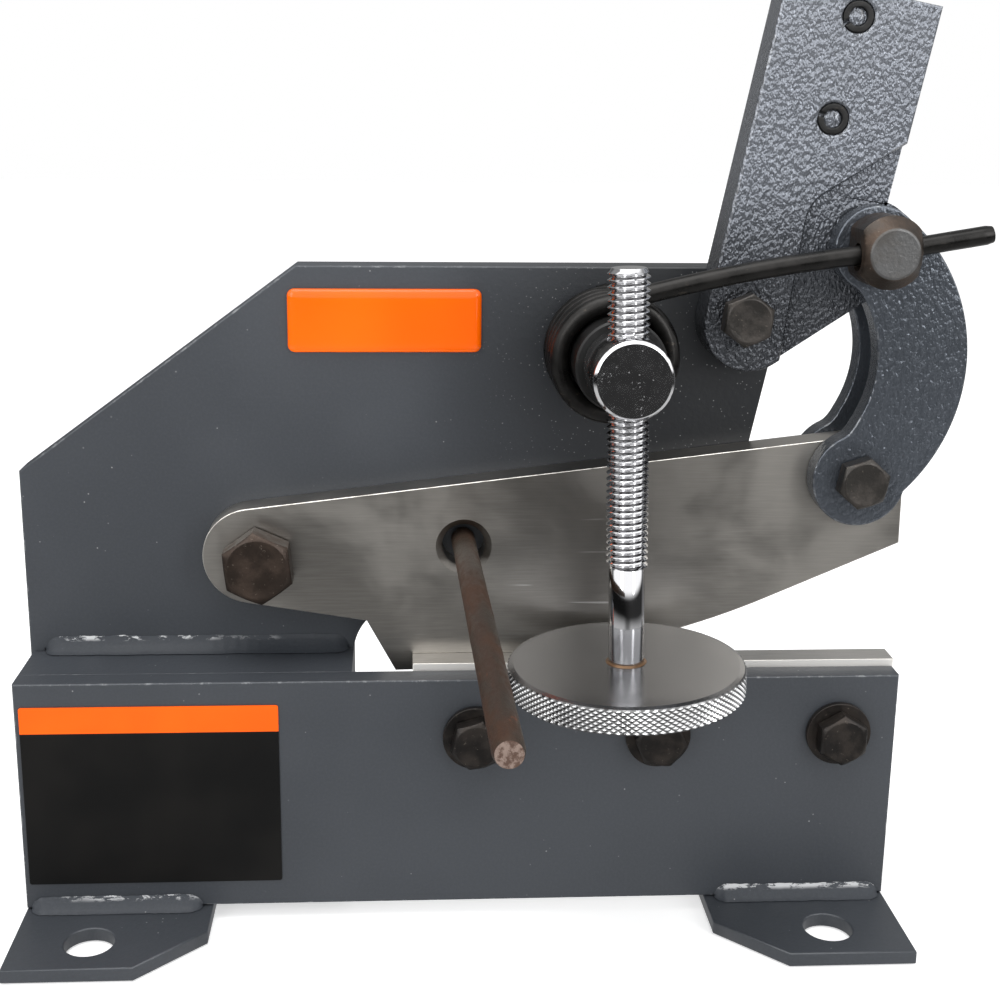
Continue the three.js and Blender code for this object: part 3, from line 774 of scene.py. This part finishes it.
def head_rings(size, head_y, turn):
    """Rings of a hexagon head from its front face to its bearing face."""
    flats, height = size["flats"], size["head"]
    front = head_y - height
    face = flats / 2 * 0.94
    return [
        (face * 0.5, front + 0.12), (face - 0.9, front + 0.1), (face - 0.4, front),
        (face, front + 0.12),
        (hex_radius(flats, turn, 0.3), hex_drop(flats, turn, face, front + 0.2, 1, 0.3)),
        (hex_radius(flats, turn), hex_drop(flats, turn, face, front + 0.5, 1)),
        (hex_radius(flats, turn), head_y - 0.9),
        (hex_radius(flats, turn, 0.35), head_y - 0.5),
        (flats / 2 * 0.95, head_y - 0.4), (flats / 2 * 0.93, head_y),
    ]


def make_bolt(node, centre, size, turn, look, body, threaded=0):
    low, high = cad(node)
    head_y = low.y + size["head"]
    rings = head_rings(size, head_y, turn)
    radius = size["radius"]
    rings.append((radius, head_y))
    if threaded:
        rings.append((radius, high.y - threaded))
        rings += thread_rings(radius, size["pitch"], high.y - threaded, high.y - 1.2)
        rings.append((radius * 0.84, high.y))
    else:
        rings.append((radius, high.y))
    piece = turned("visual_" + node, centre, rings, 96, turn)
    own(piece, body, "oxide_steel", look, node)


def make_nut(node, centre, size, body):
    low, high = cad(node)
    flats, radius, turn = size["flats"], size["radius"] + GAP, 0.2
    face = flats / 2 * 0.95
    rings = [
        (radius, low.y + 0.8), (radius + 0.8, low.y), (face, low.y),
        (hex_radius(flats, turn), hex_drop(flats, turn, face, low.y + 0.2, 1)),
        (hex_radius(flats, turn), hex_drop(flats, turn, face, high.y - 0.2, -1)),
        (face, high.y), (radius + 0.8, high.y), (radius, high.y - 0.8),
    ]
    piece = turned("visual_" + node, centre, rings, 72, turn, closed=True)
    own(piece, body, "oxide_steel", "oxide", node)


def make_washer(node, centre, size):
    low, high = cad(node)
    rim = circle(centre, (high.x - low.x) / 2, 72)
    piece = plate("visual_" + node, rim, low.y, high.y, [circle(centre, size["radius"] + GAP)], 0.3)
    own(piece, "frame", "oxide_steel", "oxide", node)


def make_fasteners():
    for i, turn in enumerate((0.25, 0.65, 1.05), 1):
        centre = centre_of(f"blade_washer_{i}")
        make_washer(f"blade_washer_{i}", centre, M12)
        make_bolt(f"blade_bolt_{i}", centre, M12, turn, "oxide", "frame")
    make_bolt("blade_pivot_bolt", BLADE_PIVOT, M18, -0.1, "brown", "frame", threaded=22)
    make_washer("blade_pivot_washer", BLADE_PIVOT, M18)
    make_nut("blade_pivot_nut", BLADE_PIVOT, M18, "frame")
    make_bolt("lever_bolt", LEVER_PIVOT, M12, 0.12, "worn", "frame", threaded=18)
    make_washer("lever_washer", LEVER_PIVOT, M12)
    make_nut("lever_nut", LEVER_PIVOT, M12, "frame")
    make_bolt("link_bolt", LINK_BOTTOM, M12, 0.2, "worn", "links", threaded=16)
    make_nut("link_bolt_nut", LINK_BOTTOM, M12, "links")


# ---- blades
def make_blades():
    low, high = cad("lower_blade")
    fixed = plate("visual_lower_blade", rectangle(low, high), low.y, high.y, bevel=0.25)
    own(fixed, "frame", "blade_steel", "lower", "lower_blade")

    y0, y1 = depth("moving_blade")
    heel = (116.1, 101.6)
    outline = arc((56.9, 152.5), 20.5, 96.9, 260.3, 40) + [(104.1, 123.9), heel]
    outline += curve_through(heel, (201.7, 103), (268.6, 130.5))
    outline += [(329.2, 156.8), (328.4, 205.5)]
    holes = [circle(BLADE_PIVOT, M18["radius"] + GAP), circle(LINK_BOTTOM, 9.2)]
    blade = plate("visual_moving_blade", outline, y0, y1, holes, 0.35)
    mouth = [(12.6, y0 - 1), (11.4, y0 + 0.3), (9.6, y0 + 1.8), (9, y0 + 2.6), (9, y1 + 1)]
    cut(blade, turned("tool", BAR_HOLE, mouth, 64))
    own(blade, "blade", "blade_steel", "blade", "moving_blade")


# ---- lever, handle and links
def on_lever(along, across):
    s, c = math.sin(LEVER_LEAN), math.cos(LEVER_LEAN)
    return LEVER_PIVOT[0] + along * s + across * c, LEVER_PIVOT[1] + along * c - across * s


def roll_pin_holes():
    return [circle(on_lever(along, ROLL_PIN_OFFSET), ROLL_PIN_RADIUS + GAP) for along in ROLL_PINS.values()]


def make_lever():
    y0, y1 = depth("lever")
    half = LEVER_WIDTH / 2
    lean, slope = math.degrees(LEVER_LEAN), math.degrees(0.56)
    outline = arc((259.4, 250.3), 19, 180 - lean, 270 + slope, 28)
    outline += arc(LINK_TOP, 18.5, -90 + slope, 75.6, 24)
    outline += [on_lever(LEVER_TOP - 80, LEVER_MIDDLE + half), on_lever(LEVER_TOP, LEVER_MIDDLE + half),
                on_lever(LEVER_TOP, LEVER_MIDDLE - half)]
    holes = [circle(LEVER_PIVOT, M12["radius"] + GAP), circle(LINK_TOP, LINK_PIN_RADIUS + GAP)]
    body = plate("visual_lever", outline, y0, y1, holes + roll_pin_holes(), 0.9)
    pocket = [(345, 337), (317.4, 321.9), (286.5, 302.6), (283.4, 300.2), (281.2, 297.4), (279.9, 294.2),
              (279.2, 290.5), (271.5, 232), (330, 225), (360, 260)]
    tool = prism("tool", pocket, y0 - 3, depth("moving_blade")[0], (y0 + 1.1, -0.9, 0.75))
    slot_middle = y0 + 11.2
    socket = prism("socket", handle_outline(SOCKET_BOTTOM - GAP, LEVER_TOP + 5, HANDLE_WIDTH / 2 + GAP),
                   slot_middle - 4.3, slot_middle + 4.3)
    cut(body, tool, socket)
    own(body, "lever", "hammertone", "hammer", "lever")

    for node, along in ROLL_PINS.items():
        pin_y0, pin_y1 = depth(node)
        centre = on_lever(along, ROLL_PIN_OFFSET)
        opening = 205 if node == "roll_pin_upper" else 160
        ring = arc(centre, ROLL_PIN_RADIUS, opening + 9, opening + 351, 40)
        ring += arc(centre, 3.6, opening + 346, opening + 14, 32)
        pin = plate("visual_" + node, ring, pin_y0 + 0.9, pin_y1, bevel=0.35)
        own(pin, "lever", "spring_steel", "boss", node)
        rings = [(radius, pin_y0 + y) for radius, y in ((3.0, 2), (3.5, 2.3), (3.5, 4), (6.2, 4.3), (6.2, 7))]
        fill = turned("visual_fill_" + node, centre, rings, 32)
        own(fill, "lever", "hammertone", "hammer")


def handle_outline(start, end, half):
    return [on_lever(start, LEVER_MIDDLE - half), on_lever(start, LEVER_MIDDLE + half),
            on_lever(end, LEVER_MIDDLE + half), on_lever(end, LEVER_MIDDLE - half)]


def make_handle():
    y0, y1 = depth("handle_bar")
    end = SOCKET_BOTTOM + HANDLE_LENGTH
    outline = handle_outline(SOCKET_BOTTOM, end, HANDLE_WIDTH / 2)
    bar = plate("visual_handle_bar", outline, y0, y1, roll_pin_holes(), 0.8)
    own(bar, "lever", "spring_steel", "bar", "handle_bar")

    y0, y1 = depth("handle_grip")
    middle = (y0 + y1) / 2
    half_y = (y1 - y0) / 2
    half_x = HANDLE_WIDTH / 2 + 5

    def point(along, across=0, y=0):
        x, z = on_lever(along, LEVER_MIDDLE + across)
        return x, middle + y, z
    loops = []
    start = end - GRIP_LENGTH
    steps = 104
    for i in range(steps + 1):
        along = start + (GRIP_LENGTH + 6) * i / steps
        ribbed = 8 < along - start < GRIP_LENGTH - 10
        rib = 0.8 * max(0.0, math.cos((along - start) * TAU / 8)) if ribbed else 0.0
        round_end = min(1.0, (i + 1) / 3, (steps + 1 - i) / 4)
        shrink = 1.5 - rib + 3 * (1 - math.sqrt(1 - (1 - round_end) ** 2))
        section = rounded_box(-half_x + shrink, half_x - shrink, -half_y + shrink, half_y - shrink, 5)
        loops.append([point(along, across, y) for across, y in section])
    grip = skin("visual_grip", loops, (point(start), point(end + 6)), sharp=60)
    own(grip, "lever", "grip_rubber", "rubber", "handle_grip")


def link_outline():
    eye = arc(LINK_TOP, 17, 241, 48, 40)
    back = arc((272.7, 235), 75, 45, -45, 40)
    lobe = arc(LINK_BOTTOM, 19.5, -18, -246, 48)
    throat = arc((260.7, 236), 50, -30, 31, 32)
    lower_notch = curve_through(lobe[-1], (301.9, 206.5), throat[0], 6)[:-1]
    upper_notch = curve_through(throat[-1], (301.6, 265.1), eye[0], 6)[:-1]
    return eye + back + lobe + lower_notch + throat + upper_notch


def make_links():
    for node in ("link_front", "link_rear"):
        y0, y1 = depth(node)
        holes = [circle(LINK_TOP, LINK_PIN_RADIUS + GAP), circle(LINK_BOTTOM, M12["radius"] + GAP)]
        piece = plate("visual_" + node, link_outline(), y0, y1, holes, 0.8)
        own(piece, "links", "hammertone", "link", node)


def make_spring_pin():
    low, high = cad("spring_pin")
    head_back = depth("link_front")[0] - GAP
    front = low.y
    flat = 11.4

    def clipped(radius):
        return lambda angle: min(radius, flat / max(abs(math.sin(angle)), 1e-6))
    rings = [(clipped(5), front + 0.1), (clipped(9.0), front + 0.05), (clipped(9.8), front + 0.35)]
    rings += [(clipped(9.8 + 4.5 * t / 6), front + 0.35 + 5.4 * t / 6) for t in range(1, 7)]
    rings += [(clipped(14.3), front + 7), (clipped(14.3), head_back - 0.5), (clipped(13.8), head_back)]
    rings += [(LINK_PIN_RADIUS, head_back), (LINK_PIN_RADIUS, high.y - 17)]
    rings += thread_rings(LINK_PIN_RADIUS, 2, high.y - 17, high.y - 1.2)
    rings.append((6.8, high.y))
    pin = turned("visual_spring_pin", LINK_TOP, rings, 96)
    ends = [PIN_MIDDLE + ARM_ALONG * reach for reach in (-30, 30)]
    angles = [TAU * i / 32 for i in range(32)]
    hole = [[end + (Vector((0, 1, 0)) * math.cos(a) + ARM_UP * math.sin(a)) * 5.4 for a in angles] for end in ends]
    cut(pin, skin("tool", hole, ends))
    own(pin, "spring_pin", "oxide_steel", "pin", "spring_pin")
    make_nut("spring_pin_nut", LINK_TOP, M16, "spring_pin")


# ---- return spring
def tube(name, path, radius, count=16):
    """A round wire along a path, with rounded ends."""
    path = [Vector(p) for p in path]
    loops = []
    normal = None
    for i, point in enumerate(path):
        ahead = (path[min(i + 1, len(path) - 1)] - path[max(i - 1, 0)]).normalized()
        if normal is None:
            normal = ahead.orthogonal().normalized()
        normal = (normal - ahead * normal.dot(ahead)).normalized()
        side = ahead.cross(normal)
        end = min(i, len(path) - 1 - i)
        r = radius * (0.86 if end == 0 else 1.0)
        loops.append([point + (normal * math.cos(TAU * j / count) + side * math.sin(TAU * j / count)) * r
                      for j in range(count)])
    return skin(name, loops, (path[0], path[-1]), sharp=40)


def make_spring():
    x0, z0 = SPRING_AXIS
    start = Vector((x0, ARM_Y, z0)) + ARM_UP * COIL_RADIUS
    to_pin = (PIN_MIDDLE - start).dot(ARM_ALONG)
    bow = 2.2
    arm = []
    for i in range(61):
        s = ARM_LENGTH * (1 - i / 60)
        lift = bow * math.sin(math.pi * s / to_pin)
        if s >= to_pin:
            lift = -bow * math.pi * (s - to_pin) / to_pin * 0.35
        arm.append(start + ARM_ALONG * s + ARM_UP * lift)
    last = depth("spring_coil")[1] - WIRE_RADIUS
    turns = 4
    per_turn = 40
    coil = []
    for i in range(1, turns * per_turn + 1):
        t = i / per_turn
        angle = math.pi / 2 + ARM_SLOPE + TAU * t
        y = ARM_Y + (last - ARM_Y) * min(1.0, t / (turns - 0.15))
        coil.append(Vector((x0 + COIL_RADIUS * math.cos(angle), y, z0 + COIL_RADIUS * math.sin(angle))))
    spring = tube("visual_spring", arm + coil, WIRE_RADIUS)
    own(spring, None, "spring_steel", "spring", "spring_coil", "spring_arm")
    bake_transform(spring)

    low, high = cad("spring_boss")
    wall = depth("back_plate")[0] - GAP
    radius = (high.x - low.x) / 2
    rings = [(radius - 3, low.y), (radius - 0.8, low.y), (radius, low.y + 0.8), (radius, wall),
             (BOSS_SPIGOT, wall), (BOSS_SPIGOT, high.y - 0.6), (BOSS_SPIGOT - 0.6, high.y)]
    boss = turned("visual_boss", SPRING_AXIS, rings)
    own(boss, "frame", "spring_steel", "boss", "spring_boss")


# ---- hold-down -------------------------------------------------------------------------------
def put_hold_down(piece):
    """Tilts a piece drawn about its own axis and sets it at the hold-down."""
    lean = Matrix.Rotation(-HOLD_DOWN_TILT, 4, "Y")
    move = Matrix.Translation((SPRING_AXIS[0] * MM, 0, SPRING_AXIS[1] * MM))
    piece.data.transform(move @ lean)
    return piece


def on_screw(radius, angle, z):
    """A point about the screw's axis."""
    return radius * math.cos(angle), SCREW_Y + radius * math.sin(angle), z


def around_z(rings, count):
    """Loops about the screw's axis. A ring is a radius, which may be a function of the angle, and a height."""
    angles = [TAU * i / count for i in range(count)]
    return [[on_screw(value_at(radius, a), a, z) for a in angles] for radius, z in rings]


def make_screw():
    low = DISC_TOP - DISC_THICKNESS + 0.5
    pitch = 2.5
    rings = [(SHANK_RADIUS - 1, low), (SHANK_RADIUS, low + 1), (SHANK_RADIUS, THREAD_END - 1.2),
             (SHANK_RADIUS - 0.6, THREAD_END - 0.4)]
    rings += thread_rings(SCREW_RADIUS, pitch, THREAD_END, SCREW_TOP - 1.5)
    rings += [(SCREW_RADIUS - 1.2, SCREW_TOP - 0.6), (SCREW_RADIUS - 1.7, SCREW_TOP)]
    piece = skin("visual_screw", around_z(rings, 56), ((0, SCREW_Y, low), (0, SCREW_Y, SCREW_TOP)), sharp=50)
    own(put_hold_down(piece), "hold_down_screw", "chrome", "chrome", "hold_down_screw")


def make_disc():
    """The pressure disc: turned faces, chamfers, and a diamond knurl cut as little pyramids."""
    rows, columns = 8, 176
    bottom = DISC_TOP - DISC_THICKNESS
    knurl_low, knurl_high = bottom + 1.3, DISC_TOP - 1.3
    points, faces = [], []
    for j in range(rows + 1):
        z = knurl_low + (knurl_high - knurl_low) * j / rows
        for i in range(columns):
            angle = TAU * i / columns
            r = DISC_RADIUS + (0.0 if (i + j) % 2 == 0 else -0.72)
            points.append(on_screw(r, angle, z))
    for j in range(rows):
        for i in range(columns):
            a, b = j * columns + i, j * columns + (i + 1) % columns
            c, d = b + columns, a + columns
            if (i + j) % 2 == 0:
                faces += [(a, b, d), (b, c, d)]
            else:
                faces += [(a, b, c), (a, c, d)]

    def close(first, edge_z, direction):
        """Adds the chamfer, the flat face and the bore edge above or below the knurl."""
        bore = SHANK_RADIUS + GAP
        for r, depth_below in ((DISC_RADIUS - 0.8, 0.55), (DISC_RADIUS - 1.1, 0.45), (DISC_RADIUS - 2.6, 0.02),
                               (DISC_RADIUS - 2.9, 0), (DISC_RADIUS * 0.7, 0), (DISC_RADIUS * 0.4, 0),
                               (bore + 0.8, 0), (bore, 0.6)):
            base = len(points)
            z = edge_z - direction * depth_below
            points.extend(on_screw(r, TAU * i / columns, z) for i in range(columns))
            faces.extend(band(first, base, columns))
            first = base
        return first
    top = close(rows * columns, DISC_TOP, 1)
    under = close(0, bottom, -1)
    faces.extend(band(top, under, columns))
    piece = from_points("visual_disc", points, faces, sharp=12)
    own(put_hold_down(piece), "hold_down_screw", "chrome", "disc", "hold_down_disc")
    section = [(SHANK_RADIUS + 0.05, DISC_TOP + 0.75), (SHANK_RADIUS + 0.5, DISC_TOP + 0.45),
               (SHANK_RADIUS + 1.1, DISC_TOP + 0.05), (SHANK_RADIUS + 0.05, DISC_TOP - 0.4)]
    stain = skin("visual_stain", around_z(section, 64), closed=True)
    own(put_hold_down(stain), "hold_down_screw", "bar_steel", "stain")


def make_head():
    r = HEAD_RADIUS
    front, back = SCREW_Y - r, depth("hold_down_head")[1]
    rings = [(r * 0.5, front), (r - 1.3, front), (r - 1.0, front + 0.1), (r - 0.2, front + 0.8),
             (r, front + 1.3), (r, back - 0.4), (r - 0.4, back)]
    head = turned("visual_head", (0, 0), rings, 96)
    wide, narrow = SCREW_RADIUS + 1.2, SCREW_RADIUS + 0.15
    bore = around_z([(wide, 30), (wide, 14.2), (narrow, 13.2), (narrow, -13.2), (wide, -14.2), (wide, -30)], 48)
    cut(head, skin("tool", bore, ((0, SCREW_Y, 30), (0, SCREW_Y, -30))))
    own(put_hold_down(head), "hold_down_head", "chrome", "head", "hold_down_head")


# ---- round stock
def make_round_bar():
    low, high = cad("round_bar")
    start = Vector((BAR_HOLE[0], high.y, BAR_HOLE[1]))
    end = Vector((BAR_HOLE[0] + BAR_SLANT[0], low.y, BAR_HOLE[1] + BAR_SLANT[1]))
    ahead = (end - start).normalized()
    side = Vector((1, 0, 0)) - ahead * ahead.x
    side.normalize()
    up = ahead.cross(side)
    length = (end - start).length
    steps, count = 150, 40
    loops = []
    for i in range(steps + 1):
        s = length * i / steps
        near_end = min(s, length - s)
        radius = BAR_RADIUS - (0.7 if near_end == 0 else 0.25 if near_end < 1.5 else 0.0)
        loop = []
        for j in range(count):
            angle = TAU * j / count
            rough = 0.07 * noise.noise(Vector((math.cos(angle) * 1.7, math.sin(angle) * 1.7, s * 0.22)))
            reach = radius + rough - 0.07
            loop.append(start + ahead * s + (side * math.cos(angle) + up * math.sin(angle)) * reach)
        loops.append(loop)
    piece = skin("visual_round_bar", loops, (start, end), sharp=45)
    own(piece, "round_bar", "bar_steel", "rust", "round_bar")


make_frame()
make_weld("weld_column", 7, 1.5)
make_weld("weld_foot_left", 6, 8.2)
make_weld("weld_foot_right", 6, 15.9)
make_badge()
make_sticker()
make_fasteners()
make_blades()
make_lever()
make_handle()
make_links()
make_spring_pin()
make_spring()
make_screw()
make_disc()
make_head()
make_round_bar()


# ---- floor, light and camera
def make_floor():
    mesh = bpy.data.meshes.new("floor")
    metres = range(-6, 7)
    corners = [13 * i + j for i in range(12) for j in range(12)]
    mesh.from_pydata([(x, y, 0) for x in metres for y in metres], [],
                     [(a, a + 13, a + 14, a + 1) for a in corners])
    floor = linked("floor", mesh)
    floor.location.z = -0.0005
    floor.visible_glossy = False
    look = Look("pale_floor", Base_Color=(0.86, 0.86, 0.86), Roughness=0.9, Specular_IOR_Level=0.1,
                Emission_Color=(1, 1, 1), Emission_Strength=0.52)
    mesh.materials.append(look.material)


def area_light(name, location, target, size, power):
    data = bpy.data.lights.new(name, "AREA")
    data.shape = "RECTANGLE"
    data.size, data.size_y = size
    data.energy = power
    lamp = linked(name, data)
    lamp.location = location
    lamp.rotation_euler = (Vector(target) - Vector(location)).to_track_quat("-Z", "Y").to_euler()


def make_camera():
    """The camera stands right of the badge and looks down a little, as the photograph does."""
    pitch, yaw, roll = 0.23798, 0.05379, 0.00959
    forward = Vector((math.sin(yaw) * math.cos(pitch), math.cos(yaw) * math.cos(pitch), -math.sin(pitch)))
    right = Vector((math.cos(yaw), -math.sin(yaw), 0))
    up = right.cross(forward)
    right, up = right * math.cos(roll) + up * math.sin(roll), up * math.cos(roll) - right * math.sin(roll)
    data = bpy.data.cameras.new("camera")
    data.sensor_width = 36
    data.lens = 51.903
    data.shift_x = 0.0237
    data.shift_y = -0.0446
    data.clip_start = 0.01
    camera = linked("camera", data)
    rows = Matrix((right, up, -forward)).transposed()
    camera.matrix_world = Matrix.Translation((0.1186, -0.5514, 0.3351)) @ rows.to_4x4()
    SCENE.camera = camera


make_floor()
area_light("top_soft", (-0.1, -0.25, 1.9), (0.14, 0.02, 0.1), (1.6, 1.2), 19)
area_light("left_soft", (-0.95, -1.4, 0.85), (0.16, 0.0, 0.15), (0.5, 1.3), 8)
area_light("right_soft", (1.25, -1.4, 0.85), (0.16, 0.0, 0.15), (0.4, 1.3), 9)


def make_world():
    """White all round, but metal reflects a darker studio with a bright ceiling."""
    world = bpy.data.worlds.new("studio")
    sky = Nodes(world)
    across, away, up = sky.add("SeparateXYZ", Vector=sky.add("TexCoord").outputs["Generated"]).outputs
    ceiling = sky.between(up, 0.35, 0.6, 0.0, 0.3)
    horizon = sky.times(sky.between(up, -0.03, 0.1, 0.0, 1.9), sky.between(away, 0.0, 0.3, 1.0, 0.04))
    table = sky.times(sky.between(up, -0.4, -0.2, 1.0, 0.0),
                      sky.between(sky.math("ABSOLUTE", across), 0.05, 0.45, 0.3, 0.8))
    rear = sky.times(sky.between(across, -0.5, 0.45, 0.35, 1.5), sky.between(away, 0.1, 0.5, 0.03, 0.2))
    studio = sky.math("ADD", sky.math("ADD", ceiling, horizon), sky.math("MAXIMUM", table, rear))
    rays = sky.add("LightPath").outputs
    strength = 0.62
    for ray, value in (("Is Glossy Ray", studio), ("Is Camera Ray", 1.0)):
        mix = sky.add("Mix", {"data_type": "FLOAT"})
        for socket, source in ((mix.inputs[0], rays[ray]), (mix.inputs[2], strength), (mix.inputs[3], value)):
            sky.feed(socket, source)
        strength = mix.outputs[0]
    background = sky.add("Background", Color=(1, 1, 1, 1), Strength=strength)
    sky.tree.links.new(background.outputs[0], sky.add("OutputWorld").inputs["Surface"])
    return world


SCENE.world = make_world()
SCENE.view_settings.view_transform = "Standard"
make_camera()
